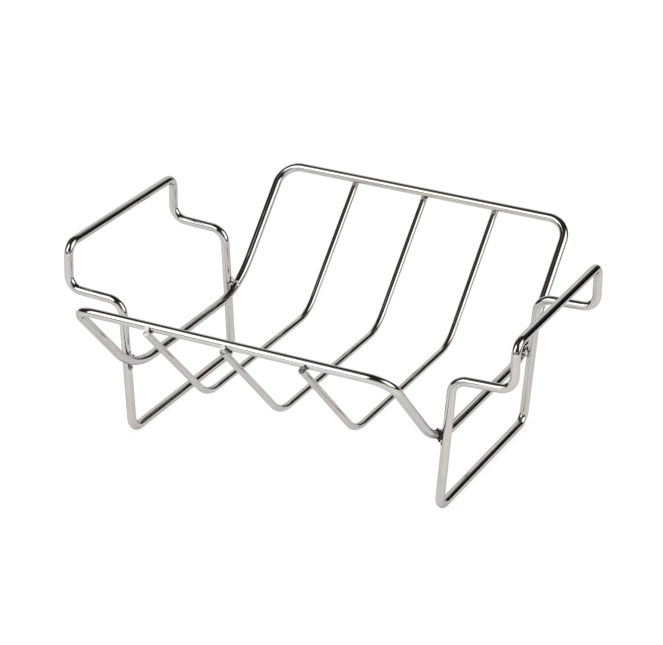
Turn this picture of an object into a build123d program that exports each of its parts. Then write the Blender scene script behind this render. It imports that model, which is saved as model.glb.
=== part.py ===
"""Roasting rack of bent round wire.

A U-shaped basket ring with three cradle ribs under it hangs between two side frames,
each bent from one closed length of wire: foot bar, two legs, two ledges and a raised handle.
Units are mm, +Z is up, X runs from handle to handle and the feet rest on Z = 0.
"""

import os
from math import atan2, cos, radians, sin, sqrt, tan

from build123d import *

# Wire sizes, and the hair gap that weld metal fills between two touching wires
wire_d = 6.35
rib_d = 4.76
weld_gap = 0.10

# Basket ring: centre lines of the rails, the sloping walls and the flat floor
basket_x = 116.3
rail_y = 150.4
rail_z = 129.2
basket_corner_y = 75.7
basket_corner_z = 53.0
rail_bend = 15.7
basket_bend = 66.9

# Side frames, from the foot bar up to the handle: leans, bends and the straight runs between bends
foot_y = 72.8
leg_lean = 6.3
leg_spread = 0.35
leg_run = 77.675
ledge_run = 21.75
ledge_rise = 1.75
rise_run = 13.5
handle_inset = 0.65
foot_bend = 9.1
leg_bend = 11.1
ledge_bend = 10.3
handle_bend = 8.9

# Cradle ribs, welded under the rails
rib_count = 3
rib_pitch = 56.9
rib_corner_y = 75.8
rib_slope = 44.76
rib_bend = 33.9
rib_overhang = 2.6
rib_end_bevel = 0.35

# Weld beads: radius round the touching point and half thickness
frame_bead_r = 4.6
frame_bead_t = 2.1
rib_bead_r = 3.8
rib_bead_t = 1.6

wire_r = wire_d / 2
rib_r = rib_d / 2

# Heights and depths of the side frames' corners
foot_z = wire_r
ledge_inner_z = foot_z + foot_bend + leg_run + leg_bend
ledge_outer_z = ledge_inner_z + ledge_rise
handle_z = ledge_outer_z + ledge_bend + rise_run + handle_bend
ledge_y = foot_y + leg_spread
handle_y = ledge_y - handle_inset


def swept_rod(points, bends, radius):
    """Round rod along straight runs joined by tangent bends, its seam turned away from every weld."""
    with BuildPart(mode=Mode.PRIVATE) as rod:
        with BuildLine() as path:
            FilletPolyline(*points, radius=bends)
        with BuildSketch(Plane(origin=path.wire() @ 0, x_dir=(0, -1, -1), z_dir=path.wire() % 0)):
            Circle(radius)
        sweep()
    return rod.part


def basket_height(y):
    """Height of the basket's side wire over a point at distance y from the middle."""
    wall = atan2(rail_z - basket_corner_z, rail_y - basket_corner_y)
    bend_start = basket_corner_y - basket_bend * tan(wall / 2)
    bend_end = bend_start + basket_bend * sin(wall)
    if y <= bend_start:
        return basket_corner_z
    if y >= bend_end:
        return basket_corner_z + (y - basket_corner_y) * tan(wall)
    return basket_corner_z + basket_bend - sqrt(basket_bend**2 - (y - bend_start) ** 2)


def leg_y(z):
    """Distance of a leg from the middle at a height."""
    return foot_y + (ledge_y - foot_y) * (z - foot_z) / (ledge_inner_z - foot_z)


def leg_crossing():
    """Point in the side view where the basket's wire passes a leg."""
    z = basket_corner_z
    for _ in range(20):
        z = basket_height(leg_y(z))
    return leg_y(z), z


cross_y, cross_z = leg_crossing()


def leg_spacing():
    """Distance along X between a leg and the basket's wire, so that the two just touch."""
    step = 0.01
    leg = Vector(leg_lean, ledge_y - foot_y, ledge_inner_z - foot_z)
    rise = basket_height(cross_y + step) - basket_height(cross_y - step)
    normal = leg.cross(Vector(0, 2 * step, rise)).normalized()
    return (wire_d + weld_gap) / abs(normal.X)


spacing = leg_spacing()
foot_x = basket_x + spacing - leg_lean * (cross_z - foot_z) / (ledge_inner_z - foot_z)
ledge_inner_x = foot_x + leg_lean
handle_x = ledge_inner_x + leg_bend + ledge_run + ledge_bend

# The ribs pass under the rails at right angles, one hair gap away
slope = radians(rib_slope)
rib_under_rail = wire_r + weld_gap + rib_r
rib_run = (rail_y - rib_corner_y) * tan(slope)
rib_floor_z = rail_z - rib_run - rib_under_rail / cos(slope)
rib_end_y = rail_y + rib_under_rail * sin(slope) + rib_overhang * cos(slope)
rib_end_z = rail_z - rib_under_rail * cos(slope) + rib_overhang * sin(slope)


def rib(x):
    """One cradle rib: flat floor, two bends and two walls with bevelled cut ends."""
    points = (
        (x, -rib_end_y, rib_end_z),
        (x, -rib_corner_y, rib_floor_z),
        (x, rib_corner_y, rib_floor_z),
        (x, rib_end_y, rib_end_z),
    )
    with BuildPart(mode=Mode.PRIVATE) as rod:
        add(swept_rod(points, rib_bend, rib_r))
        chamfer(rod.faces().filter_by(GeomType.PLANE).edges(), length=rib_end_bevel)
    return rod.part


def weld_bead(plane, radius, half_thickness, rods):
    """Lens of weld metal round a touching point, less the rods; the plane's x is their common normal."""
    with BuildPart(mode=Mode.PRIVATE) as bead:
        with BuildSketch(plane):
            with BuildLine():
                arc = EllipticalCenterArc((0, 0), half_thickness, radius, arc_size=180)
                Line(arc @ 1, arc @ 0)
            make_face()
        revolve(axis=Axis(plane.origin, plane.x_dir))
        for rod in rods:
            add(rod, mode=Mode.SUBTRACT)
    return bead.part


def save(solid, label):
    """Name a finished piece and write its file."""
    solid.label = label
    export_step(solid, f"parts/{label}.step")


os.makedirs("parts", exist_ok=True)

with BuildPart() as basket_frame:
    quarter = (
        (0, rail_y, rail_z),
        (basket_x, rail_y, rail_z),
        (basket_x, basket_corner_y, basket_corner_z),
        (basket_x, 0, basket_corner_z),
    )
    add(swept_rod(quarter, (rail_bend, basket_bend), wire_r))
    mirror(about=Plane.YZ)
    mirror(about=Plane.XZ)
save(basket_frame.part, "basket_frame")

with BuildPart() as right_side_frame:
    rear_half = (
        (foot_x, 0, foot_z),
        (foot_x, foot_y, foot_z),
        (ledge_inner_x, ledge_y, ledge_inner_z),
        (handle_x, ledge_y, ledge_outer_z),
        (handle_x, handle_y, handle_z),
        (handle_x, 0, handle_z),
    )
    add(swept_rod(rear_half, (foot_bend, leg_bend, ledge_bend, handle_bend), wire_r))
    mirror(about=Plane.XZ)
save(right_side_frame.part, "right_side_frame")

with BuildPart() as left_side_frame:
    add(mirror(right_side_frame.part, about=Plane.YZ, mode=Mode.PRIVATE))
save(left_side_frame.part, "left_side_frame")

side_names = {-1: "left", 1: "right"}
end_names = {-1: "front", 1: "rear"}

for side, side_name in side_names.items():
    frame = right_side_frame.part if side > 0 else left_side_frame.part
    for end, end_name in end_names.items():
        centre = (side * (basket_x + spacing / 2), end * cross_y, cross_z)
        touching = Plane(origin=centre, x_dir=(side, 0, 0), z_dir=(0, 1, 0))
        with BuildPart() as frame_weld:
            add(weld_bead(touching, frame_bead_r, frame_bead_t, (frame, basket_frame.part)))
        save(frame_weld.part, f"frame_weld_{end_name}_{side_name}")

for index in range(rib_count):
    rib_x = (index - (rib_count - 1) / 2) * rib_pitch
    with BuildPart() as cradle_rib:
        add(rib(rib_x))
    save(cradle_rib.part, f"rib_{index + 1}")
    for end, end_name in end_names.items():
        normal = Vector(0, -end * sin(slope), cos(slope))
        centre = Vector(rib_x, end * rail_y, rail_z) - normal * (wire_r + weld_gap / 2)
        touching = Plane(origin=centre, x_dir=normal, z_dir=(1, 0, 0))
        with BuildPart() as rib_weld:
            add(weld_bead(touching, rib_bead_r, rib_bead_t, (cradle_rib.part, basket_frame.part)))
        save(rib_weld.part, f"rib_weld_{end_name}_{index + 1}")
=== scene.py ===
"""Roasting rack of polished round wire, bent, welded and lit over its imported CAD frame.

The basket ring, the two side frames and the three cradle ribs are bent from wire as a forming
machine bends it: a ring of points is fed forward, turned round a bend and fed forward again.
Beads of weld metal join them. Sizes are metres in the frame of the CAD model, or mm where a
comment says so.
"""

import math
import random

import bmesh
import bpy
from bpy.props import FloatProperty, FloatVectorProperty, IntProperty, PointerProperty
from mathutils import Matrix, Vector, noise


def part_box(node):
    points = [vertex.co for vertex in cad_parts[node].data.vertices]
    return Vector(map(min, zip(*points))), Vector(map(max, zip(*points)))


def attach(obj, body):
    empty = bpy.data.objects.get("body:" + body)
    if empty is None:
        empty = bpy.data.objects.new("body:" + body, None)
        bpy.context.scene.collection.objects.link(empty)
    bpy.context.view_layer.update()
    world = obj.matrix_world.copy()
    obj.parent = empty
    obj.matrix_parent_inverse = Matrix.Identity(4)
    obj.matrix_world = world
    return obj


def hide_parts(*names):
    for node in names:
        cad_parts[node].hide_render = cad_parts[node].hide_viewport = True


bl_info = {
    "name": "Roasting Rack",
    "version": (1, 0, 0),
    "blender": (4, 5, 0),
    "location": "View3D > Sidebar > Rack",
    "description": "Bends, welds and lights a roasting rack of polished wire",
    "category": "Add Mesh",
}

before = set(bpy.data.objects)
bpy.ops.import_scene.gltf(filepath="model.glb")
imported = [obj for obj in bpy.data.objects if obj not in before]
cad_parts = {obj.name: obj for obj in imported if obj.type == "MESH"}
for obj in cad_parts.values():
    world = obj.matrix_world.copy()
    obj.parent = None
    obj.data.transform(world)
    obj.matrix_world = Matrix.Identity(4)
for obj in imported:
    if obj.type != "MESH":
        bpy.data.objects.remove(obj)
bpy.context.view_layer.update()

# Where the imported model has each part
BASKET_LOW, BASKET_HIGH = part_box("basket_frame")
SIDE_LOW, SIDE_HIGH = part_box("right_side_frame")
RIB_NAMES = sorted(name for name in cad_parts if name.startswith("rib_") and "weld" not in name)
FRAME_WELD_NAMES = sorted(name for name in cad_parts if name.startswith("frame_weld"))
RIB_WELD_NAMES = sorted(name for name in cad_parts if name.startswith("rib_weld"))

MM = 0.001
# Vertex layer with each point's place along and across its wire, and one with a weld's painted shade, which
# paints a glint below zero
WIRE_LAYER = "wire_place"
PAINTED_SHADE_LAYER = "painted_shade"
# Material slots of a piece with cut ends or flash, after its own metal in slot 0
SHEARED_SLOT = 1
BROKEN_AND_SHADED_SLOT = 2
# Edges sharper than these stay sharp, on most pieces and on the ribs
SHARP_EDGE = math.radians(40)
SHARP_CUT = math.radians(50)

# Rings of points in a bend: the fewest, their number per step of straight wire, and the most
# degrees from one to the next
LEAST_RINGS = 6
RINGS_PER_STEP = 2
RING_DEGREES = 5
# Share of the rear left slope, from its foot, at which the basket ring's two ends meet
BUTT_JOINT = 0.58

# How each rib's ends are cut: degrees out of square, and the share of the face that broke instead
# of being sheared, which is also painted darker as shade
RIB_CUTS = ((1.0, 0.0), (0.0, 0.40), (-4.0, 1.0))
# How many bevels the cut ends stay inside the CAD ribs' ends
CUT_ROOM = 1.5
# Reach of a cut end's faces from its middle, in wire radii, and the side on which it broke and is painted
# darker as shade
CUT_REACH = 1.2
BREAK_LEAN = Vector((-0.15, 0, -1))

# Half sizes of a weld's core, in wire diameters: from wire to wire, across the first and along it
FRAME_WELD_CORE = (0.25, 0.50, 0.50)
RIB_WELD_CORE = (0.17, 0.32, 0.32)
# First seeds of the welds' random shapes, the step between the cores' noises, and the range that
# the other drops' noises are drawn from
FRAME_WELD_SEED = 1
RIB_WELD_SEED = 20
SEED_STEP = 3.1
NOISE_SEEDS = (0, 50)
# How uneven weld metal is, as a share of its size, how close its swellings lie, and how finely
# a core is divided
UNEVENNESS = 0.25
FILLET_UNEVENNESS = 0.35
SWELL_SCALE = 1.6
CORE_SUBDIVISIONS = 4
# Ranges of a fillet's distance and girth, in core sizes, then its thickness and length in girths
# and its painted shade in the core's
FILLET_DISTANCE = (0.70, 0.90)
FILLET_GIRTH = (0.25, 0.38)
FILLET_THICKNESS = 1.1
FILLET_LENGTH = (0.9, 1.3)
FILLET_PAINTED_SHADE = (0.8, 1.2)
# Range of a drop's half sizes, in its radius
DROP_RADIUS = (0.9, 1.1)

# Drops of weld metal beside the crossings. Each has its place from the touching point, in
# mm: outward, along the basket wire to its end, and up the leg; then its radius in mm and its painted
# shade, where 1 is black painted shade, 0 is bare metal and -1 is near-white metal that paints a glint.
FRAME_DROPS = {
    "frame_weld_front_left": (
        (-0.7, 2.9, -6.1, 1.75, 0.55), (-0.9, 0.2, 3.6, 0.95, -0.8), (-0.6, 1.2, 5.0, 0.70, -0.5),
        (-0.9, -1.6, 3.6, 0.75, 0.9), (-0.2, 0.0, 5.9, 0.50, 0.9), (-0.9, -3.2, 3.2, 0.65, 0.8),
    ),
    "frame_weld_front_right": (
        (-1.4, 2.6, 2.8, 1.35, 1.0), (-1.3, 2.6, 0.4, 1.50, 1.0), (-1.1, 2.7, -2.4, 1.40, 1.0),
        (-0.6, 2.8, -4.2, 0.95, 1.0), (-2.2, 4.4, 4.2, 0.95, 1.0), (-1.6, 3.4, 4.5, 0.60, -0.3),
        (0.9, 2.8, -5.6, 0.75, 0.5), (1.1, 2.8, -6.9, 0.60, 0.2),
    ),
    "frame_weld_rear_left": (
        (0.30, 0.30, 7.5, 0.60, -1.0), (0.15, 0.65, 6.7, 0.65, -1.0), (0.0, 1.0, 5.9, 0.70, -1.0),
        (-0.15, 1.4, 5.1, 0.75, -1.0), (-0.3, 1.75, 4.3, 0.80, -1.0), (-0.9, 1.3, 3.9, 0.85, -0.8),
        (-1.9, 0.75, 3.6, 0.90, -0.8), (-3.0, -0.4, 3.9, 0.90, -0.5), (-4.7, 0.5, 3.5, 1.00, -0.4),
        (-5.9, -0.3, 2.05, 0.90, -1.0), (0.4, -2.2, 2.1, 0.95, -1.0), (-0.4, 0.5, 1.0, 1.00, 1.0),
        (0.1, -0.93, 6.9, 0.60, 1.0),
    ),
    "frame_weld_rear_right": (
        (-0.9, 0.8, 5.8, 1.00, 1.0), (-1.4, 0.4, 3.6, 0.95, -0.8), (-1.6, -0.8, 1.8, 1.00, -0.4),
        (-0.6, -0.4, -1.0, 1.50, 1.0), (-1.6, -1.8, -0.4, 0.95, -1.0), (-1.7, -3.4, -2.4, 0.85, 1.0),
        (0.0, 2.0, 2.6, 0.80, -0.2),
    ),
}

# The same for the ribs, whose black drops are painted shade: towards the rail, up the rib's wall, and along
# +X
RIB_DROPS = (
    (
        (1.2, 2.6, 1.1, 0.35, 1.0), (0.75, 1.9, 1.45, 0.45, 1.0), (0.3, 1.1, 1.75, 0.50, 1.0),
        (0.0, 0.3, 2.0, 0.65, 1.0), (-0.15, -0.5, 2.2, 0.60, 0.9),
    ),
    (
        (1.2, 2.5, 1.0, 0.30, 1.0), (0.75, 1.8, 1.4, 0.40, 1.0), (0.3, 1.0, 1.8, 0.45, 1.0),
        (0.0, 0.2, 2.1, 0.45, 1.0), (-0.05, -0.7, 2.4, 0.50, 1.0), (-0.1, -1.6, 2.7, 0.50, 1.0),
        (-0.1, -2.5, 3.0, 0.95, 1.0),
    ),
    (
        (1.1, 2.6, 1.4, 0.45, 0.75), (0.6, 1.7, 1.9, 0.65, 0.7), (0.1, 0.6, 2.4, 0.75, 0.75),
        (-0.1, -0.2, 2.6, 0.60, 0.6),
    ),
)
# Flat flash that was pressed out over each rib's cut ends, in the same axes: its place and half
# sizes in mm, and whether it is broken metal painted darker as shade
RIB_FLASHES = (
    ((0.55, 2.35, -1.0, 2.2, 2.1, False),),
    ((0.2, 2.25, -1.0, 1.7, 2.0, False),),
    ((-0.7, 2.10, -0.1, 1.3, 2.2, True), (0.75, 2.10, -0.9, 1.1, 1.5, False)),
)
# Thickness of the flash in mm, its smaller face as a share of the larger one, and its tilt
FLASH_THICKNESS = 0.9
FLASH_TAPER = 0.88
FLASH_TILT = math.radians(-12)
# Painted shade on the core of each frame weld, and on those of the ribs; below zero it paints a glint
FRAME_PAINTED_SHADE = {
    "frame_weld_front_left": 0.5, "frame_weld_front_right": 1.0,
    "frame_weld_rear_left": -0.3, "frame_weld_rear_right": -0.4,
}
RIB_PAINTED_SHADE = 0.8
# Lightness and roughness of the sheared and the broken share of a rib's cut end; the broken share's low
# lightness is painted shade
SHEARED = (0.75, 0.30)
BROKEN_AND_SHADED = (0.30, 0.38)


def box_middle(node):
    """Middle of a CAD node's box."""
    low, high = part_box(node)
    return (low + high) / 2


class RackSizes(bpy.types.PropertyGroup):
    """Wire and bend sizes of the rack."""

    wire_diameter: FloatProperty(
        name="Frame wire", description="Diameter of the basket and side frame wire",
        default=0.00635, min=0.001, unit="LENGTH", precision=5,
    )
    rib_diameter: FloatProperty(
        name="Rib wire", description="Diameter of the cradle ribs' wire",
        default=0.00476, min=0.001, unit="LENGTH", precision=5,
    )
    weld_gap: FloatProperty(
        name="Weld gap", description="Hair gap that weld metal fills between two wires",
        default=0.0001, min=0.0, unit="LENGTH", precision=5,
    )
    basket_corner: FloatProperty(
        name="Basket corner", description="Distance from the middle to the foot of the basket's wall",
        default=0.0757, unit="LENGTH", precision=5,
    )
    rail_bend: FloatProperty(
        name="Rail bend", description="Bend radius at the ends of the top rails",
        default=0.0157, unit="LENGTH", precision=5,
    )
    basket_bend: FloatProperty(
        name="Basket bend", description="Bend radius between the basket's floor and its sloping walls",
        default=0.0669, unit="LENGTH", precision=5,
    )
    leg_lean: FloatProperty(
        name="Leg lean", description="How far a leg leans outward over its height",
        default=0.0063, unit="LENGTH", precision=5,
    )
    leg_spread: FloatProperty(
        name="Leg spread", description="How far a leg spreads from the middle over its height",
        default=0.00035, unit="LENGTH", precision=5,
    )
    ledge_height: FloatProperty(
        name="Ledge height", description="Height of the ledge's inner end above the floor",
        default=0.10105, unit="LENGTH", precision=5,
    )
    ledge_rise: FloatProperty(
        name="Ledge rise", description="How much higher the ledge's outer end is",
        default=0.00175, unit="LENGTH", precision=5,
    )
    handle_inset: FloatProperty(
        name="Handle inset", description="How far the handle's ends lean in from the ledges",
        default=0.00065, unit="LENGTH", precision=5,
    )
    foot_bend: FloatProperty(
        name="Foot bend", description="Bend radius between the foot bar and a leg",
        default=0.0091, unit="LENGTH", precision=5,
    )
    leg_bend: FloatProperty(
        name="Leg bend", description="Bend radius between a leg and its ledge",
        default=0.0111, unit="LENGTH", precision=5,
    )
    ledge_bend: FloatProperty(
        name="Ledge bend", description="Bend radius between a ledge and the handle's rise",
        default=0.0103, unit="LENGTH", precision=5,
    )
    handle_bend: FloatProperty(
        name="Handle bend", description="Bend radius at the handle's top corners",
        default=0.0089, unit="LENGTH", precision=5,
    )
    rib_corner: FloatProperty(
        name="Rib corner", description="Distance from the middle to the foot of a rib's wall",
        default=0.0758, unit="LENGTH", precision=5,
    )
    rib_slope: FloatProperty(
        name="Rib slope", description="Slope of a rib's walls",
        default=math.radians(44.76), subtype="ANGLE",
    )
    rib_bend: FloatProperty(
        name="Rib bend", description="Bend radius between a rib's floor and its walls",
        default=0.0339, unit="LENGTH", precision=5,
    )
    rib_overhang: FloatProperty(
        name="Rib overhang", description="How far a rib's cut end stands past the rail's middle",
        default=0.0026, unit="LENGTH", precision=5,
    )
    cut_bevel: FloatProperty(
        name="Cut bevel", description="Bevel round a rib's cut end",
        default=0.0002, unit="LENGTH", precision=5,
    )
    sides: IntProperty(
        name="Sides", description="Points round a wire",
        default=36, min=12, max=96,
    )
    step: FloatProperty(
        name="Step", description="Longest stretch of wire between two rings of points",
        default=0.004, min=0.001, unit="LENGTH", precision=4,
    )


class RackFinish(bpy.types.PropertyGroup):
    """Colours and polish of the rack's metal."""

    steel: FloatVectorProperty(
        name="Steel", description="Colour of the polished wire",
        default=(0.535, 0.52, 0.505), subtype="COLOR", size=3, min=0, max=1,
    )
    # Near-white weld metal, lighter than real weld metal: a painted glint on drops that face the softboxes
    painted_glint_weld: FloatVectorProperty(
        name="Bright weld metal", description="Colour of the cleanest weld metal",
        default=(0.96, 0.94, 0.92), subtype="COLOR", size=3, min=0, max=1,
    )
    weld: FloatVectorProperty(
        name="Weld metal", description="Colour of the weld beads",
        default=(0.50, 0.48, 0.46), subtype="COLOR", size=3, min=0, max=1,
    )
    # Black of the painted shade on weld drops where shade falls between the wires
    painted_shade: FloatVectorProperty(
        name="Soot", description="Colour of scorched weld metal",
        default=(0.014, 0.013, 0.012), subtype="COLOR", size=3, min=0, max=1,
    )
    polish: FloatProperty(
        name="Polish", description="Roughness of the polished wire",
        default=0.06, min=0.02, max=1, subtype="FACTOR",
    )


class RackStage(bpy.types.PropertyGroup):
    """Floor, light and camera."""

    camera_azimuth: FloatProperty(
        name="Camera azimuth", description="Turn of the camera round the rack from straight in front",
        default=math.radians(26.2275), subtype="ANGLE",
    )
    camera_elevation: FloatProperty(
        name="Camera elevation", description="Angle of the camera above the floor",
        default=math.radians(24.9552), subtype="ANGLE",
    )
    camera_roll: FloatProperty(
        name="Camera roll", description="Tilt of the camera round its own line of sight",
        default=math.radians(1.10026), subtype="ANGLE",
    )
    camera_distance: FloatProperty(
        name="Camera distance", description="Distance of the camera from the rack",
        default=1.76657, unit="LENGTH",
    )
    lens: FloatProperty(
        name="Lens", description="Focal length of the camera in mm",
        default=135.69, subtype="NONE",
    )


class Shade:
    """A socket that takes part in Python arithmetic by adding nodes to its tree."""

    def __init__(self, tree, socket=None):
        self.tree = tree
        self.socket = socket

    def node(self, kind, inputs=None, output=0, **settings):
        """Add any node: its settings first, then the values or links of its sockets."""
        made = self.tree.nodes.new(kind)
        for setting, value in settings.items():
            setattr(made, setting, value)
        for name, value in (inputs or {}).items():
            if isinstance(value, Shade):
                self.tree.links.new(value.socket, made.inputs[name])
            else:
                made.inputs[name].default_value = value
        return Shade(self.tree, made.outputs[output] if made.outputs else None)

    def math(self, operation, first, second=0.0):
        """One Math node."""
        return self.node("ShaderNodeMath", {0: first, 1: second}, operation=operation)

    def __add__(self, other):
        return self.math("ADD", self, other)

    def __sub__(self, other):
        return self.math("SUBTRACT", self, other)

    def __mul__(self, other):
        return self.math("MULTIPLY", self, other)

    def __rsub__(self, other):
        return self.math("SUBTRACT", other, self)

    __radd__ = __add__
    __rmul__ = __mul__

    def climb(self, kind, low, high, start, end):
        """Climb from start to end while this value goes from low to high, level past them."""
        inputs = {"Value": self, "From Min": low, "From Max": high, "To Min": start, "To Max": end}
        return self.node("ShaderNodeMapRange", inputs, interpolation_type=kind)

    def ramp(self, low, high):
        """Smooth climb from 0 to 1."""
        return self.climb("SMOOTHSTEP", low, high, 0.0, 1.0)

    def line(self, low, high, start, end):
        """Straight climb."""
        return self.climb("LINEAR", low, high, start, end)

    def noise(self, scale, detail=2.0, roughness=0.5):
        """Grey noise on this vector."""
        inputs = {"Vector": self, "Scale": scale, "Detail": detail, "Roughness": roughness}
        return self.node("ShaderNodeTexNoise", inputs)

    def swing(self, width):
        """This noise as a swing about zero, from half the width below it to half above."""
        return (self - 0.5) * width

    def stretched(self, factors):
        """This vector or colour with its parts multiplied by the factors."""
        return self.node("ShaderNodeVectorMath", {0: self, 1: factors}, operation="MULTIPLY")

    def shifted(self, step):
        """This vector moved by a step."""
        return self.node("ShaderNodeVectorMath", {0: self, 1: step}, operation="ADD")

    def blend(self, dark, bright):
        """Colour between dark and bright, by this value."""
        inputs = {"Factor": self, "A": with_alpha(dark), "B": with_alpha(bright)}
        return self.node("ShaderNodeMix", inputs, output="Result", data_type="RGBA")


def with_alpha(colour):
    """Colour with the fourth number that a socket needs."""
    return colour if isinstance(colour, Shade) else (*colour, 1.0)


def new_material(name):
    """Empty material and the start of its node tree."""
    material = bpy.data.materials.new(name)
    material.use_nodes = True
    material.node_tree.nodes.clear()
    return material, Shade(material.node_tree)


def finish_surface(start, shader):
    """Join a shader to the material's output."""
    start.node("ShaderNodeOutputMaterial", {"Surface": shader})


class WireBender:
    """Feeds and bends round wire, leaving a tube of mesh behind it."""

    def __init__(self, start, heading, radius, sizes):
        self.mesh = bmesh.new()
        self.layer = self.mesh.verts.layers.float_vector.new(WIRE_LAYER)
        self.place = start.copy()
        self.heading = heading.normalized()
        self.step = sizes.step
        self.length = 0.0
        turn = self.heading.to_track_quat("Z", "Y").to_matrix().to_4x4()
        circle = bmesh.ops.create_circle(
            self.mesh, cap_ends=False, segments=sizes.sides, radius=radius,
            matrix=Matrix.Translation(start) @ turn,
        )
        self.ring = circle["verts"]
        self.first = list(self.ring)
        for vert in self.ring:
            across = turn.to_3x3().inverted() @ (vert.co - start)
            vert[self.layer] = (0.0, across.x, across.y)

    def extrude(self, advance):
        """Extrude the last ring on the spot; its points know how far along the wire they are."""
        ring = set(self.ring)
        edges = {edge for vert in ring for edge in vert.link_edges if set(edge.verts) <= ring}
        made = bmesh.ops.extrude_edge_only(self.mesh, edges=list(edges))["geom"]
        self.ring = [item for item in made if isinstance(item, bmesh.types.BMVert)]
        self.length += advance
        for vert in self.ring:
            vert[self.layer].x = self.length

    def feed(self, distance):
        """Push straight wire out of the machine."""
        steps = max(1, math.ceil(distance / self.step))
        for _ in range(steps):
            self.extrude(distance / steps)
            bmesh.ops.translate(self.mesh, verts=self.ring, vec=self.heading * (distance / steps))
        self.place += self.heading * distance

    def bend(self, heading, radius):
        """Turn the wire to a new heading round a former of that radius."""
        axis = self.heading.cross(heading).normalized()
        angle = self.heading.angle(heading)
        centre = self.place + axis.cross(self.heading) * radius
        by_length = math.ceil(angle * radius / self.step * RINGS_PER_STEP)
        by_angle = math.ceil(math.degrees(angle) / RING_DEGREES)
        steps = max(LEAST_RINGS, by_length, by_angle)
        turn = Matrix.Rotation(angle / steps, 3, axis)
        for _ in range(steps):
            self.extrude(angle * radius / steps)
            bmesh.ops.rotate(self.mesh, verts=self.ring, cent=centre, matrix=turn)
        self.place = centre + Matrix.Rotation(angle, 3, axis) @ (self.place - centre)
        self.heading = heading.normalized()

    def follow(self, points, bends):
        """Run through the corner points, with a bend at each but the last."""
        for corner, after, radius in zip(points, points[1:], bends):
            heading = (after - corner).normalized()
            setback = radius * math.tan(self.heading.angle(heading) / 2)
            self.feed((corner - self.place).dot(self.heading) - setback)
            self.bend(heading, radius)
        self.feed((points[-1] - self.place).dot(self.heading))

    def close(self):
        """Join the last ring to the first one."""
        targets = {}
        for vert in self.ring:
            nearest = min(self.first, key=lambda other: (other.co - vert.co).length_squared)
            targets[vert] = nearest
        bmesh.ops.weld_verts(self.mesh, targetmap=targets)


def finish_piece(mesh, name, material, node, sharp=SHARP_EDGE):
    """Turn a bmesh into a smooth piece that stands for its CAD node."""
    bmesh.ops.recalc_face_normals(mesh, faces=mesh.faces)
    data = bpy.data.meshes.new(name)
    mesh.to_mesh(data)
    mesh.free()
    data.shade_smooth()
    data.set_sharp_from_angle(angle=sharp)
    data.materials.append(material)
    piece = bpy.data.objects.new(name, data)
    bpy.context.scene.collection.objects.link(piece)
    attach(piece, "root")
    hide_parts(node)
    return piece


# Polished wire. A scale is in noise cells to the metre, a stretch is given along and across the
# wire, a range is the part of the noise that shows, and a roughness is how far a pattern changes it.
STREAK_SCALE = 620.0
STREAK_STRETCH = (0.05, 1.0, 1.0)
STREAK_SHARE = 0.75
STREAK_RANGE = (0.34, 0.66)
STREAK_LIGHTNESS = (0.91, 1.07)
DRAW_LINE_SCALE = 3500.0
DRAW_LINE_STRETCH = (0.03, 1.0, 1.0)
DRAW_LINE_ROUGHNESS = 0.03
DRAW_LINE_HEIGHT = 0.0004 * MM
CLOUD_SCALE = 90.0
CLOUD_ROUGHNESS = 0.04
WAVE_SCALE = 160.0
WAVE_STRETCH = (0.35, 1.0, 1.0)
WAVE_HEIGHT = 0.02 * MM
# Tint of what the wire reflects at its rims
GRAZING_TINT = (0.72, 0.72, 0.72)
# Faint tints that lie over the polish in broad patches
TINT_SCALE = 26.0
TINT_RANGE = (0.36, 0.64)
TINT_SHIFT = (3.1, 5.7, 1.9)
WARM_TINT = (1.015, 1.0, 0.965)
COOL_TINT = (0.99, 1.0, 1.03)
ROSE_TINT = (1.015, 0.99, 1.01)
GREEN_TINT = (0.985, 1.01, 0.985)

# Weld metal: its stains, its grain, its roughness where it is clean, and what black painted shade adds
STAIN_SCALE = 900.0
STAIN_SPREAD = 0.4
STAIN_HEIGHT = 0.05 * MM
GRAIN_SCALE = 2600.0
GRAIN_ROUGHNESS = 0.04
GRAIN_HEIGHT = 0.006 * MM
PAINTED_SHADE_RANGE = (0.25, 0.75)
CLEAN_ROUGHNESS = 0.09
PAINTED_SHADE_ROUGHNESS = 0.45

# Cut ends: the blade's marks and the unevenness under them
MARK_SCALE = 4200.0
MARK_STRETCH = (1.0, 0.15, 0.15)
MARK_SHARE = 0.5
MARK_ROUGHNESS = 0.15
MARK_HEIGHT = 0.006 * MM
DENT_SCALE = 700.0
DENT_HEIGHT = 0.03 * MM
CUT_RANGE = (0.35, 0.65)
CUT_LIGHTNESS = (0.86, 1.06)


def dull_and_bright(colour, factors):
    """The colour times the lower and the higher factor, kept within white."""
    return [tuple(min(1.0, channel * factor) for channel in colour) for factor in factors]


def metal_surface(start, inputs, height):
    """Shaded surface with its inputs, and a bump of the given height in metres."""
    bump = start.node("ShaderNodeBump", {"Height": height, "Strength": 1.0, "Distance": 1.0})
    finish_surface(start, start.node("ShaderNodeBsdfPrincipled", {**inputs, "Normal": bump}))


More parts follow.
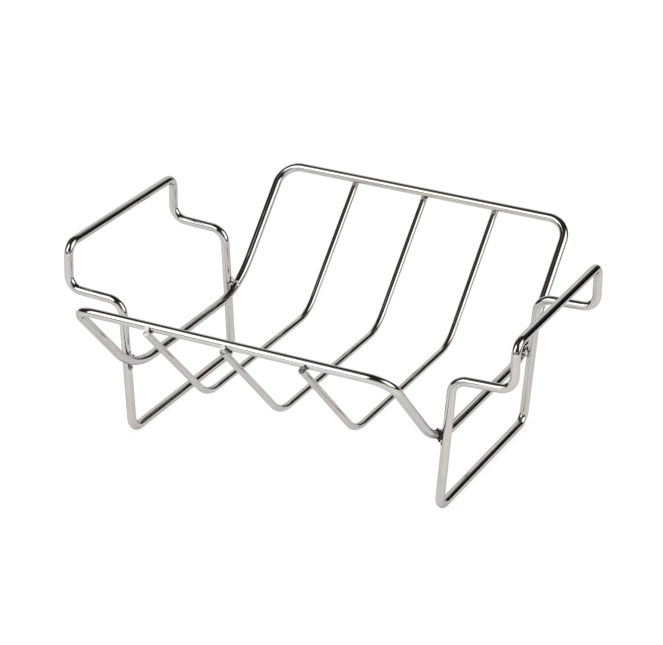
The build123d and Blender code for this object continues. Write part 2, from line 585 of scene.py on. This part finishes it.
def steel_material(name, finish):
    """Polished drawn wire: soft streaks along it, fine draw lines and a little cloud in the polish."""
    material, start = new_material(name)
    place = start.node("ShaderNodeAttribute", output="Vector", attribute_name=WIRE_LAYER)
    streaks = place.stretched(STREAK_STRETCH).noise(STREAK_SCALE, detail=3.0, roughness=0.6)
    draw_lines = place.stretched(DRAW_LINE_STRETCH).noise(DRAW_LINE_SCALE, detail=2.0)
    clouds = place.noise(CLOUD_SCALE, detail=3.0)
    waves = place.stretched(WAVE_STRETCH).noise(WAVE_SCALE, detail=1.0)
    pattern = (streaks * STREAK_SHARE + clouds * (1 - STREAK_SHARE)).ramp(*STREAK_RANGE)
    colour = pattern.blend(*dull_and_bright(finish.steel, STREAK_LIGHTNESS))
    object_place = start.node("ShaderNodeTexCoord", output="Object")
    cool = object_place.noise(TINT_SCALE, detail=1.0).ramp(*TINT_RANGE)
    green = object_place.shifted(TINT_SHIFT).noise(TINT_SCALE, detail=1.0).ramp(*TINT_RANGE)
    tint = cool.blend(WARM_TINT, COOL_TINT).stretched(green.blend(ROSE_TINT, GREEN_TINT))
    roughness = finish.polish + clouds.swing(CLOUD_ROUGHNESS) + draw_lines.swing(DRAW_LINE_ROUGHNESS)
    inputs = {
        "Base Color": colour.stretched(tint), "Metallic": 1.0, "Roughness": roughness,
        "Specular Tint": with_alpha(GRAZING_TINT),
    }
    metal_surface(start, inputs, waves * WAVE_HEIGHT + draw_lines * DRAW_LINE_HEIGHT)
    return material


def weld_material(name, finish):
    """Weld metal: bare near zero, near white as a painted glint below zero, and matt black as painted shade
    above.
    """
    material, start = new_material(name)
    place = start.node("ShaderNodeTexCoord", output="Object")
    painted_shade = start.node("ShaderNodeAttribute", output="Fac", attribute_name=PAINTED_SHADE_LAYER)
    stain = place.noise(STAIN_SCALE, detail=2.0)
    grain = place.noise(GRAIN_SCALE, detail=1.0)
    # Painted shade: matt black where the weld's layer is high
    shaded = (painted_shade + stain.swing(STAIN_SPREAD)).ramp(*PAINTED_SHADE_RANGE)
    # Painted glint: near-white metal where the weld's layer is below zero
    bare_and_glinting = painted_shade.line(-1.0, 0.0, 1.0, 0.0).blend(finish.weld, finish.painted_glint_weld)
    roughness = CLEAN_ROUGHNESS + shaded * PAINTED_SHADE_ROUGHNESS + grain.swing(GRAIN_ROUGHNESS)
    inputs = {
        "Base Color": shaded.blend(bare_and_glinting, finish.painted_shade), "Metallic": 1.0 - shaded, "Roughness": roughness,
    }
    metal_surface(start, inputs, stain * STAIN_HEIGHT + grain * GRAIN_HEIGHT)
    return material


def cut_material(name, finish, lightness, roughness):
    """Cut wire end with the fine marks of the blade, or the duller grain where the metal broke, darkened as
    painted shade by its lightness.
    """
    material, start = new_material(name)
    place = start.node("ShaderNodeTexCoord", output="Object")
    marks = place.stretched(MARK_STRETCH).noise(MARK_SCALE, detail=2.0)
    dents = place.noise(DENT_SCALE, detail=2.0)
    pattern = (marks * MARK_SHARE + dents * (1 - MARK_SHARE)).ramp(*CUT_RANGE)
    tones = dull_and_bright(finish.steel, [lightness * factor for factor in CUT_LIGHTNESS])
    inputs = {
        "Base Color": pattern.blend(*tones), "Metallic": 1.0,
        "Roughness": roughness + marks.swing(MARK_ROUGHNESS),
    }
    metal_surface(start, inputs, marks * MARK_HEIGHT + dents * DENT_HEIGHT)
    return material


def piece_material(name, make, *details):
    """The named material, made the first time that it is asked for."""
    return bpy.data.materials.get(name) or make(name, *details)


def basket_corners(sizes):
    """Distances and heights of the basket ring's corners, on its centre line."""
    radius = sizes.wire_diameter / 2
    x = BASKET_HIGH.x - radius
    rail_y = BASKET_HIGH.y - radius
    rail_z = BASKET_HIGH.z - radius
    floor_y = sizes.basket_corner
    floor_z = BASKET_LOW.z + radius
    return x, rail_y, rail_z, floor_y, floor_z


class RACK_OT_basket(bpy.types.Operator):
    """Bend the basket ring from one length of wire"""

    bl_idname = "rack.basket"
    bl_label = "Basket ring"

    def execute(self, context):
        sizes = context.scene.rack_sizes
        x, rail_y, rail_z, floor_y, floor_z = basket_corners(sizes)
        slope_foot = Vector((-x, floor_y, floor_z))
        rail_end = Vector((-x, rail_y, rail_z))
        start = slope_foot.lerp(rail_end, BUTT_JOINT)
        wall, rail = sizes.basket_bend, sizes.rail_bend
        corners = [
            (slope_foot, wall),
            (Vector((-x, -floor_y, floor_z)), wall),
            (Vector((-x, -rail_y, rail_z)), rail),
            (Vector((x, -rail_y, rail_z)), rail),
            (Vector((x, -floor_y, floor_z)), wall),
            (Vector((x, floor_y, floor_z)), wall),
            (Vector((x, rail_y, rail_z)), rail),
            (rail_end, rail),
        ]
        wire = WireBender(start, slope_foot - start, sizes.wire_diameter / 2, sizes)
        wire.follow([point for point, _ in corners] + [start], [radius for _, radius in corners])
        wire.close()
        steel = piece_material("polished_frame_wire", steel_material, context.scene.rack_finish)
        finish_piece(wire.mesh, "basket_ring", steel, "basket_frame")
        return {"FINISHED"}


class RACK_OT_side_frames(bpy.types.Operator):
    """Bend the two side frames, each from one length of wire"""

    bl_idname = "rack.side_frames"
    bl_label = "Side frames"

    def execute(self, context):
        sizes = context.scene.rack_sizes
        steel = piece_material("polished_frame_wire", steel_material, context.scene.rack_finish)
        for side, side_name in ((-1, "left"), (1, "right")):
            wire = self.bend_side(side, sizes)
            name = f"{side_name}_side_frame"
            finish_piece(wire.mesh, f"{side_name}_side_wire", steel, name)
        return {"FINISHED"}

    def bend_side(self, side, sizes):
        """Foot bar, leg, ledge and rise, over the handle and back down to the foot bar."""
        radius = sizes.wire_diameter / 2
        foot_x = SIDE_LOW.x + radius
        foot_z = SIDE_LOW.z + radius
        ledge_y = SIDE_HIGH.y - radius
        foot_y = ledge_y - sizes.leg_spread
        handle_x = SIDE_HIGH.x - radius
        handle_z = SIDE_HIGH.z - radius
        rear = [
            (Vector((side * foot_x, foot_y, foot_z)), sizes.foot_bend),
            (Vector((side * (foot_x + sizes.leg_lean), ledge_y, sizes.ledge_height)), sizes.leg_bend),
            (Vector((side * handle_x, ledge_y, sizes.ledge_height + sizes.ledge_rise)), sizes.ledge_bend),
            (Vector((side * handle_x, ledge_y - sizes.handle_inset, handle_z)), sizes.handle_bend),
        ]
        front = [(Vector((point.x, -point.y, point.z)), bend) for point, bend in reversed(rear)]
        corners = rear + front
        start = Vector((side * foot_x, 0, foot_z))
        wire = WireBender(start, Vector((0, 1, 0)), radius, sizes)
        wire.follow([point for point, _ in corners] + [start], [bend for _, bend in corners])
        wire.close()
        return wire


def cut_metals(finish):
    """Materials of sheared wire and of broken wire painted darker as shade, in the order of their slots."""
    return [
        piece_material("sheared_wire_end", cut_material, finish, *SHEARED),
        piece_material("broken_wire_end", cut_material, finish, *BROKEN_AND_SHADED),
    ]


def sheared_faces(mesh, place, radius):
    """Sheared faces of the wire end that is cut at a place."""
    faces = [face for face in mesh.faces if face.material_index == SHEARED_SLOT]
    return [face for face in faces if (face.calc_center_median() - place).length < radius * CUT_REACH]


class RACK_OT_ribs(bpy.types.Operator):
    """Bend the cradle ribs and cut their ends"""

    bl_idname = "rack.ribs"
    bl_label = "Cradle ribs"

    def execute(self, context):
        sizes = context.scene.rack_sizes
        finish = context.scene.rack_finish
        steel = piece_material("polished_rib_wire", steel_material, finish)
        for node, (tilt, broken_and_shaded_share) in zip(RIB_NAMES, RIB_CUTS):
            wire = self.bend_rib(box_middle(node).x, sizes, math.radians(tilt), broken_and_shaded_share)
            piece = finish_piece(wire.mesh, f"cradle_{node}", steel, node, SHARP_CUT)
            for metal in cut_metals(finish):
                piece.data.materials.append(metal)
        return {"FINISHED"}

    def bend_rib(self, x, sizes, tilt, broken_and_shaded_share):
        """Down one wall, along the floor and up the other wall, with both ends cut."""
        radius = sizes.rib_diameter / 2
        _, rail_y, rail_z, _, _ = basket_corners(sizes)
        under = sizes.wire_diameter / 2 + sizes.weld_gap + radius
        slope = sizes.rib_slope
        overhang = sizes.rib_overhang - CUT_ROOM * sizes.cut_bevel - radius * abs(math.sin(tilt))
        floor_z = rail_z - (rail_y - sizes.rib_corner) * math.tan(slope) - under / math.cos(slope)
        end_y = rail_y + under * math.sin(slope) + overhang * math.cos(slope)
        end_z = rail_z - under * math.cos(slope) + overhang * math.sin(slope)
        start = Vector((x, -end_y, end_z))
        front = Vector((x, -sizes.rib_corner, floor_z))
        rear = Vector((x, sizes.rib_corner, floor_z))
        end = Vector((x, end_y, end_z))
        wire = WireBender(start, front - start, radius, sizes)
        wire.follow([front, rear, end], [sizes.rib_bend, sizes.rib_bend])
        for ring, place, turn in ((wire.first, start, tilt), (wire.ring, end, -tilt)):
            out_of_square = Matrix.Rotation(turn, 3, "X")
            bmesh.ops.rotate(wire.mesh, verts=ring, cent=place, matrix=out_of_square)
        rims = [edge for edge in wire.mesh.edges if edge.is_boundary]
        ends = bmesh.ops.holes_fill(wire.mesh, edges=rims, sides=0)["faces"]
        for face in ends:
            face.material_index = SHEARED_SLOT
        bmesh.ops.bevel(
            wire.mesh, geom=rims, offset=sizes.cut_bevel, segments=3, profile=0.5,
            affect="EDGES", material=SHEARED_SLOT,
        )
        for place, outward in ((start, (start - front).normalized()), (end, (end - rear).normalized())):
            self.break_end(wire.mesh, place, outward, radius, broken_and_shaded_share)
        return wire

    def break_end(self, mesh, place, outward, radius, share):
        """Give the lower share of a cut end the look of broken metal, painted darker as shade."""
        if share == 0:
            return
        downhill = (BREAK_LEAN - outward * outward.dot(BREAK_LEAN)).normalized()
        line = place + downhill * radius * (1 - 2 * share)
        faces = sheared_faces(mesh, place, radius)
        parts = {item for face in faces for item in (face, *face.edges, *face.verts)}
        bmesh.ops.bisect_plane(mesh, geom=list(parts), plane_co=line, plane_no=downhill)
        for face in sheared_faces(mesh, place, radius):
            if (face.calc_center_median() - line).dot(downhill) > 0:
                face.material_index = BROKEN_AND_SHADED_SLOT


def add_drop(mesh, centre, turn, reach, unevenness, seed, painted_shade, subdivisions=3):
    """Add an uneven drop of weld metal; reach is its half size along each of the turn's axes."""
    layer = mesh.verts.layers.float.get(PAINTED_SHADE_LAYER) or mesh.verts.layers.float.new(PAINTED_SHADE_LAYER)
    drop = bmesh.ops.create_icosphere(mesh, subdivisions=subdivisions, radius=1.0)["verts"]
    for vert in drop:
        swell = noise.noise(vert.co * SWELL_SCALE + Vector((seed, 0, 0)))
        vert.co *= 1 + unevenness * swell
        vert[layer] = painted_shade
    bmesh.ops.smooth_vert(
        mesh, verts=drop, factor=0.5, use_axis_x=True, use_axis_y=True, use_axis_z=True,
    )
    squash = Matrix.Diagonal((*reach, 1))
    bmesh.ops.transform(mesh, verts=drop, matrix=Matrix.Translation(centre) @ turn @ squash)


def weld_axes(normal, first):
    """Turn whose axes are the normal from wire to wire, across the first wire, and along it."""
    return Matrix((normal, normal.cross(first), first)).transposed().to_4x4()


def lay_weld(centre, normal, first, second, reach, painted_shade, seed):
    """Flat core of a weld between two crossing wires, with a small fillet in each crook.

    The normal points from the first wire to the second, and first and second are their directions.
    """
    mesh = bmesh.new()
    dice = random.Random(seed)
    turn = weld_axes(normal, first)
    add_drop(mesh, centre, turn, reach, UNEVENNESS, seed * SEED_STEP, painted_shade, CORE_SUBDIVISIONS)
    size = reach[1]
    for along in (1, -1):
        for across in (1, -1):
            crook = (first * along + second * across).normalized()
            place = centre + crook * size * dice.uniform(*FILLET_DISTANCE)
            girth = size * dice.uniform(*FILLET_GIRTH)
            fillet = (girth * FILLET_THICKNESS, girth, girth * dice.uniform(*FILLET_LENGTH))
            # A fillet takes about the core's painted shade
            shaded = painted_shade * dice.uniform(*FILLET_PAINTED_SHADE)
            add_drop(mesh, place, turn, fillet, FILLET_UNEVENNESS, dice.uniform(*NOISE_SEEDS), shaded)
    return mesh


def place_drops(mesh, centre, normal, first, second, drops, seed):
    """Add the drops that stand in a table beside a weld."""
    dice = random.Random(seed)
    turn = weld_axes(normal, first)
    for toward, along, up, radius, painted_shade in drops:
        place = centre + (normal * toward + first * along + second * up) * MM
        reach = [radius * MM * dice.uniform(*DROP_RADIUS) for _ in range(3)]
        add_drop(mesh, place, turn, reach, UNEVENNESS, dice.uniform(*NOISE_SEEDS), painted_shade)


class RACK_OT_frame_welds(bpy.types.Operator):
    """Lay the weld beads between the basket ring and the legs"""

    bl_idname = "rack.frame_welds"
    bl_label = "Frame welds"

    def execute(self, context):
        # Weld metal with painted shade and painted glints
        weld = piece_material("sooty_weld_metal", weld_material, context.scene.rack_finish)
        sizes = context.scene.rack_sizes
        reach = [sizes.wire_diameter * share for share in FRAME_WELD_CORE]
        for seed, node in enumerate(FRAME_WELD_NAMES):
            centre = box_middle(node)
            side, end = math.copysign(1, centre.x), math.copysign(1, centre.y)
            outward = Vector((side, 0, 0))
            leg = Vector((side * sizes.leg_lean, end * sizes.leg_spread, sizes.ledge_height)).normalized()
            slant = wire_slant(sizes, abs(centre.y))
            wire = Vector((0, end * math.cos(slant), math.sin(slant)))
            bead = lay_weld(centre, outward, wire, leg, reach, FRAME_PAINTED_SHADE[node], seed + FRAME_WELD_SEED)
            place_drops(bead, centre, outward, wire, leg, FRAME_DROPS[node], seed)
            finish_piece(bead, f"{node}_bead", weld, node)
        return {"FINISHED"}


def wire_slant(sizes, distance):
    """Slope of the basket's side wire at a distance from the middle, within its bend."""
    _, rail_y, rail_z, floor_y, floor_z = basket_corners(sizes)
    wall = math.atan2(rail_z - floor_z, rail_y - floor_y)
    bend_start = floor_y - sizes.basket_bend * math.tan(wall / 2)
    return math.asin((distance - bend_start) / sizes.basket_bend)


class RACK_OT_rib_welds(bpy.types.Operator):
    """Lay the weld beads between the ribs and the rails"""

    bl_idname = "rack.rib_welds"
    bl_label = "Rib welds"

    def execute(self, context):
        sizes = context.scene.rack_sizes
        finish = context.scene.rack_finish
        weld = piece_material("sooty_weld_metal", weld_material, finish)
        reach = [sizes.rib_diameter * share for share in RIB_WELD_CORE]
        for seed, node in enumerate(RIB_WELD_NAMES):
            rib = int(node[-1]) - 1
            centre = box_middle(node)
            end = math.copysign(1, centre.y)
            normal = Vector((0, -end * math.sin(sizes.rib_slope), math.cos(sizes.rib_slope)))
            wall = Vector((0, end * math.cos(sizes.rib_slope), math.sin(sizes.rib_slope)))
            along_rail = Vector((1, 0, 0))
            bead = lay_weld(centre, normal, wall, along_rail, reach, RIB_PAINTED_SHADE, seed + RIB_WELD_SEED)
            place_drops(bead, centre, normal, wall, along_rail, RIB_DROPS[rib], seed)
            for row in RIB_FLASHES[rib]:
                self.press_flash(bead, centre, weld_axes(normal, wall), row)
            piece = finish_piece(bead, f"{node}_bead", weld, node)
            for metal in cut_metals(finish):
                piece.data.materials.append(metal)
        return {"FINISHED"}

    def press_flash(self, mesh, centre, turn, row):
        """Flat disc of metal that was pressed out between the cut end and the rail."""
        toward, up, along, half_toward, half_along, is_broken_and_shaded = row
        disc = bmesh.ops.create_cone(
            mesh, cap_ends=True, cap_tris=False, segments=40, radius1=1.0, radius2=FLASH_TAPER,
            depth=FLASH_THICKNESS * MM,
        )["verts"]
        for face in {face for vert in disc for face in vert.link_faces}:
            # Broken flash takes the darker metal that is painted as shade
            face.material_index = BROKEN_AND_SHADED_SLOT if is_broken_and_shaded else SHEARED_SLOT
        squash = Matrix.Diagonal((half_toward * MM, half_along * MM, 1, 1))
        tilt = Matrix.Rotation(FLASH_TILT, 4, "Y")
        normal, across, wall = (turn.col[axis].to_3d() for axis in range(3))
        across = across * math.copysign(1, across.x)
        place = centre + (normal * toward + across * along + wall * up) * MM
        bmesh.ops.transform(mesh, verts=disc, matrix=Matrix.Translation(place) @ turn @ tilt @ squash)


# Rays that see the white background, and the world's colour for them and for the others
WHITE_RAYS = ("Is Camera Ray", "Is Glossy Ray", "Is Transmission Ray")
WHITE = (1.0, 1.0, 1.0)
SOFT_WHITE = (0.95, 0.95, 0.95)
# Floor's paint, and the share of its look that takes real light and shadow, to the camera and in
# the metal
FLOOR_PAINT = (0.9, 0.9, 0.9)
SHADOW_SHARE = 0.10
SHADOW_IN_METAL = 0.50
# Floor as the metal shows it: its light at the left, right, front and rear of this reach
GRADED_REACH = 0.5
FLOOR_LEFT_TO_RIGHT = (0.80, 1.08)
FLOOR_FRONT_TO_REAR = (1.20, 0.75)

# White tabletop: its size, and the distance, fade and direction of its near edge from the rack
TABLE_SIZE = 6.0
TABLE_EDGE = 0.79
TABLE_FADE = 0.13
TABLE_TURN = math.radians(31.6)
# Dark room round the table
ROOM_RADIUS = 9.0
ROOM_COLOUR = (0.033, 0.031, 0.028)
# Softbox above the rack's front left: its width, power in watts and place
LAMP_SIZE = 1.2
LAMP_POWER = 18.0
LAMP_PLACE = Vector((-0.3, -0.6, 1.8))
# Point on the rack's upright middle line that the camera is set by, how far to the right of the
# picture's middle and how far above it the point shows, and the sensor's width in mm
CAMERA_TARGET = Vector((0, 0, 0.041895))
TARGET_RIGHT = -0.001059
TARGET_UP = -0.037968
SENSOR_WIDTH = 36.0

# Cards hung round the rack: name, azimuth and elevation that the card faces the rack from,
# distance, then its left, right, lower and upper edge, its softness and its brightness.
# Angles are degrees from +X and from the floor. A nearer card covers a farther one.
LIGHT_CARDS = (
    ("left_softbox", -132.5, 26.5, 1.31, -0.17, 0.66, -0.24, 0.80, 0.07, 2.45),
    ("low_front_card", -92.0, -4.5, 0.62, -0.20, 0.75, -1.10, 0.19, 0.08, 1.50),
    ("right_softbox", -10.5, 22.5, 3.17, -0.47, 2.37, -0.75, 1.97, 0.55, 2.40),
    ("front_fill", -81.0, 11.5, 1.83, -0.60, 2.10, -0.19, 0.32, 0.04, 0.45),
    ("backdrop", 108.5, 9.5, 1.22, -0.53, 1.12, -0.12, 0.78, 0.22, 1.05),
    ("rear_right_flag", 58.5, 2.5, 3.18, -0.57, 0.10, -0.27, 0.91, 0.04, 0.0),
    ("ceiling_glow", 181.0, 66.0, 3.23, -0.09, 2.00, -0.17, 0.17, 0.31, 0.36),
    ("halo", -15.5, 45.5, 3.78, -0.76, 1.76, -1.50, 1.02, 0.06, 0.30),
)


def light_paths(start):
    """Camera, glossy and transmission rays, each as 0 or 1."""
    path = start.node("ShaderNodeLightPath").socket.node
    return [Shade(start.tree, path.outputs[name]) for name in WHITE_RAYS]


def place_on_card(start):
    """Place on a flat stage object, across it and along it."""
    place = start.node("ShaderNodeTexCoord", output="Object")
    return [start.node("ShaderNodeSeparateXYZ", {"Vector": place}, output=axis) for axis in "XY"]


def floor_material(name):
    """White tabletop: pure white to the camera, and graded light with real shadow in the metal."""
    material, start = new_material(name)
    camera, glossy, clear = light_paths(start)
    across, along = place_on_card(start)
    graded = across.line(-GRADED_REACH, GRADED_REACH, *FLOOR_LEFT_TO_RIGHT)
    graded = graded * along.line(-GRADED_REACH, GRADED_REACH, *FLOOR_FRONT_TO_REAR)
    paint = start.node("ShaderNodeBsdfDiffuse", {"Color": with_alpha(FLOOR_PAINT)})
    strength = camera + clear + glossy * graded
    glow = start.node("ShaderNodeEmission", {"Color": with_alpha(WHITE), "Strength": strength})
    share = (camera + clear) * (1 - SHADOW_SHARE) + glossy * (1 - SHADOW_IN_METAL)
    top = start.node("ShaderNodeMixShader", {"Fac": share, 1: paint, 2: glow})
    outward = across * math.cos(TABLE_TURN) + along * math.sin(TABLE_TURN)
    inside = outward.ramp(TABLE_EDGE + TABLE_FADE, TABLE_EDGE - TABLE_FADE)
    open_air = start.node("ShaderNodeBsdfTransparent", {"Color": with_alpha(WHITE)})
    shader = start.node("ShaderNodeMixShader", {"Fac": inside, 1: open_air, 2: top})
    finish_surface(start, shader)
    return material


def card_material(name, half_width, half_height, softness, brightness):
    """Evenly lit card that fades out towards its edges."""
    material, start = new_material(name)
    across, along = place_on_card(start)
    inside = 1.0
    for distance, half in ((across, half_width), (along, half_height)):
        outward = start.math("ABSOLUTE", distance)
        inside = inside * outward.ramp(half + softness, half - softness)
    clear = start.node("ShaderNodeBsdfTransparent", {"Color": with_alpha(WHITE)})
    glow = start.node("ShaderNodeEmission", {"Color": with_alpha(WHITE), "Strength": brightness})
    shader = start.node("ShaderNodeMixShader", {"Fac": inside, 1: clear, 2: glow})
    finish_surface(start, shader)
    return material


def direction_at(azimuth, elevation):
    """Unit vector towards an azimuth, counted from +X, and an elevation, both in degrees."""
    turn, lift = math.radians(azimuth), math.radians(elevation)
    return Vector((math.cos(turn) * math.cos(lift), math.sin(turn) * math.cos(lift), math.sin(lift)))


def seen_in_metal_only(thing):
    """Show a stage object to glossy rays and to nothing else."""
    thing.visible_camera = False
    thing.visible_diffuse = False
    thing.visible_transmission = False
    thing.visible_volume_scatter = False
    thing.visible_shadow = False


def stage_object(context, name, mesh, material):
    """Link a bmesh to the scene as a piece of the stage."""
    data = bpy.data.meshes.new(name)
    mesh.to_mesh(data)
    mesh.free()
    data.materials.append(material)
    thing = bpy.data.objects.new(name, data)
    context.scene.collection.objects.link(thing)
    return thing


class RACK_OT_stage(bpy.types.Operator):
    """Set up the floor, the light and the camera"""

    bl_idname = "rack.stage"
    bl_label = "Stage"

    def execute(self, context):
        self.lay_floor(context)
        self.build_room(context)
        self.hang_cards(context)
        self.light_world(context)
        self.hang_lamp(context)
        self.aim_camera(context)
        context.scene.view_settings.view_transform = "Standard"
        return {"FINISHED"}

    def lay_floor(self, context):
        """White tabletop: it ends under a metre to the rack's right and runs on for metres elsewhere."""
        mesh = bmesh.new()
        bmesh.ops.create_grid(mesh, x_segments=1, y_segments=1, size=TABLE_SIZE / 2)
        far_side = TABLE_EDGE + TABLE_FADE - TABLE_SIZE / 2
        bmesh.ops.translate(mesh, verts=mesh.verts, vec=(far_side, 0, 0))
        bmesh.ops.rotate(mesh, verts=mesh.verts, matrix=Matrix.Rotation(TABLE_TURN, 3, "Z"))
        stage_object(context, "white_table", mesh, floor_material("white_tabletop"))

    def build_room(self, context):
        """Dark room round the table, as polished metal shows it."""
        mesh = bmesh.new()
        bmesh.ops.create_uvsphere(mesh, u_segments=48, v_segments=24, radius=ROOM_RADIUS)
        material, start = new_material("dark_room")
        glow = start.node("ShaderNodeEmission", {"Color": with_alpha(ROOM_COLOUR), "Strength": 1.0})
        finish_surface(start, glow)
        seen_in_metal_only(stage_object(context, "dark_room", mesh, material))

    def hang_cards(self, context):
        """Softboxes and reflector cards, which only the metal shows."""
        for name, azimuth, elevation, distance, left, right, low, high, softness, brightness in LIGHT_CARDS:
            half_width, half_height = (right - left) / 2, (high - low) / 2
            mesh = bmesh.new()
            bmesh.ops.create_grid(mesh, x_segments=1, y_segments=1, size=1.0)
            reach = (half_width + softness, half_height + softness, 1)
            bmesh.ops.scale(mesh, verts=mesh.verts, vec=reach)
            material = card_material(name, half_width, half_height, softness, brightness)
            card = stage_object(context, name, mesh, material)
            facing = direction_at(azimuth, elevation)
            rightward = direction_at(azimuth + 90, 0)
            upward = facing.cross(rightward)
            middle = facing * distance + rightward * (left + right) / 2 + upward * (low + high) / 2
            turn = Matrix((rightward, upward, facing)).transposed().to_4x4()
            card.matrix_world = Matrix.Translation(middle) @ turn
            seen_in_metal_only(card)

    def light_world(self, context):
        """Plain white all round: full white for the background, a shade less for everything else."""
        world = bpy.data.worlds.new("white_studio")
        world.use_nodes = True
        world.node_tree.nodes.clear()
        context.scene.world = world
        start = Shade(world.node_tree)
        camera, glossy, clear = light_paths(start)
        colour = (camera + glossy + clear).blend(SOFT_WHITE, WHITE)
        shader = start.node("ShaderNodeBackground", {"Color": colour, "Strength": 1.0})
        start.node("ShaderNodeOutputWorld", {"Surface": shader})

    def hang_lamp(self, context):
        """Soft lamp for the floor and the duller metal, which no reflection shows."""
        light = bpy.data.lights.new("overhead_softbox", "AREA")
        light.shape = "SQUARE"
        light.size = LAMP_SIZE
        light.energy = LAMP_POWER
        lamp = bpy.data.objects.new("overhead_softbox", light)
        lamp.location = LAMP_PLACE
        lamp.rotation_euler = LAMP_PLACE.to_track_quat("Z", "Y").to_euler()
        lamp.visible_glossy = False
        context.scene.collection.objects.link(lamp)

    def aim_camera(self, context):
        """Camera at the photo's angle."""
        stage = context.scene.rack_stage
        azimuth, elevation = stage.camera_azimuth, stage.camera_elevation
        back = Vector((
            math.sin(azimuth) * math.cos(elevation),
            -math.cos(azimuth) * math.cos(elevation),
            math.sin(elevation),
        ))
        level_right = Vector((math.cos(azimuth), math.sin(azimuth), 0))
        roll = Matrix.Rotation(stage.camera_roll, 3, back)
        right = roll @ level_right
        up = roll @ back.cross(level_right)
        place = CAMERA_TARGET + back * stage.camera_distance - right * TARGET_RIGHT - up * TARGET_UP
        data = bpy.data.cameras.new("camera")
        data.lens = stage.lens
        data.sensor_width = SENSOR_WIDTH
        camera = bpy.data.objects.new("camera", data)
        turn = Matrix((right, up, back)).transposed().to_4x4()
        camera.matrix_world = Matrix.Translation(place) @ turn
        context.scene.collection.objects.link(camera)
        context.scene.camera = camera


class RACK_PT_panel(bpy.types.Panel):
    """Buttons that build the rack piece by piece"""

    bl_label = "Roasting Rack"
    bl_idname = "RACK_PT_panel"
    bl_space_type = "VIEW_3D"
    bl_region_type = "UI"
    bl_category = "Rack"

    def draw(self, context):
        for operator in OPERATORS:
            self.layout.operator(operator.bl_idname)


OPERATORS = (
    RACK_OT_basket, RACK_OT_side_frames, RACK_OT_ribs, RACK_OT_frame_welds, RACK_OT_rib_welds,
    RACK_OT_stage,
)
GROUPS = {"rack_sizes": RackSizes, "rack_finish": RackFinish, "rack_stage": RackStage}


def register():
    for group in GROUPS.values():
        bpy.utils.register_class(group)
    for operator in OPERATORS:
        bpy.utils.register_class(operator)
    bpy.utils.register_class(RACK_PT_panel)
    for name, group in GROUPS.items():
        setattr(bpy.types.Scene, name, PointerProperty(type=group))


def unregister():
    for name in GROUPS:
        delattr(bpy.types.Scene, name)
    for made in (RACK_PT_panel, *reversed(OPERATORS), *GROUPS.values()):
        bpy.utils.unregister_class(made)


def main():
    """Register the add-on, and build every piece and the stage."""
    register()
    for make in (
        bpy.ops.rack.basket, bpy.ops.rack.side_frames, bpy.ops.rack.ribs, bpy.ops.rack.frame_welds,
        bpy.ops.rack.rib_welds, bpy.ops.rack.stage,
    ):
        make()


if __name__ == "__main__":
    main()
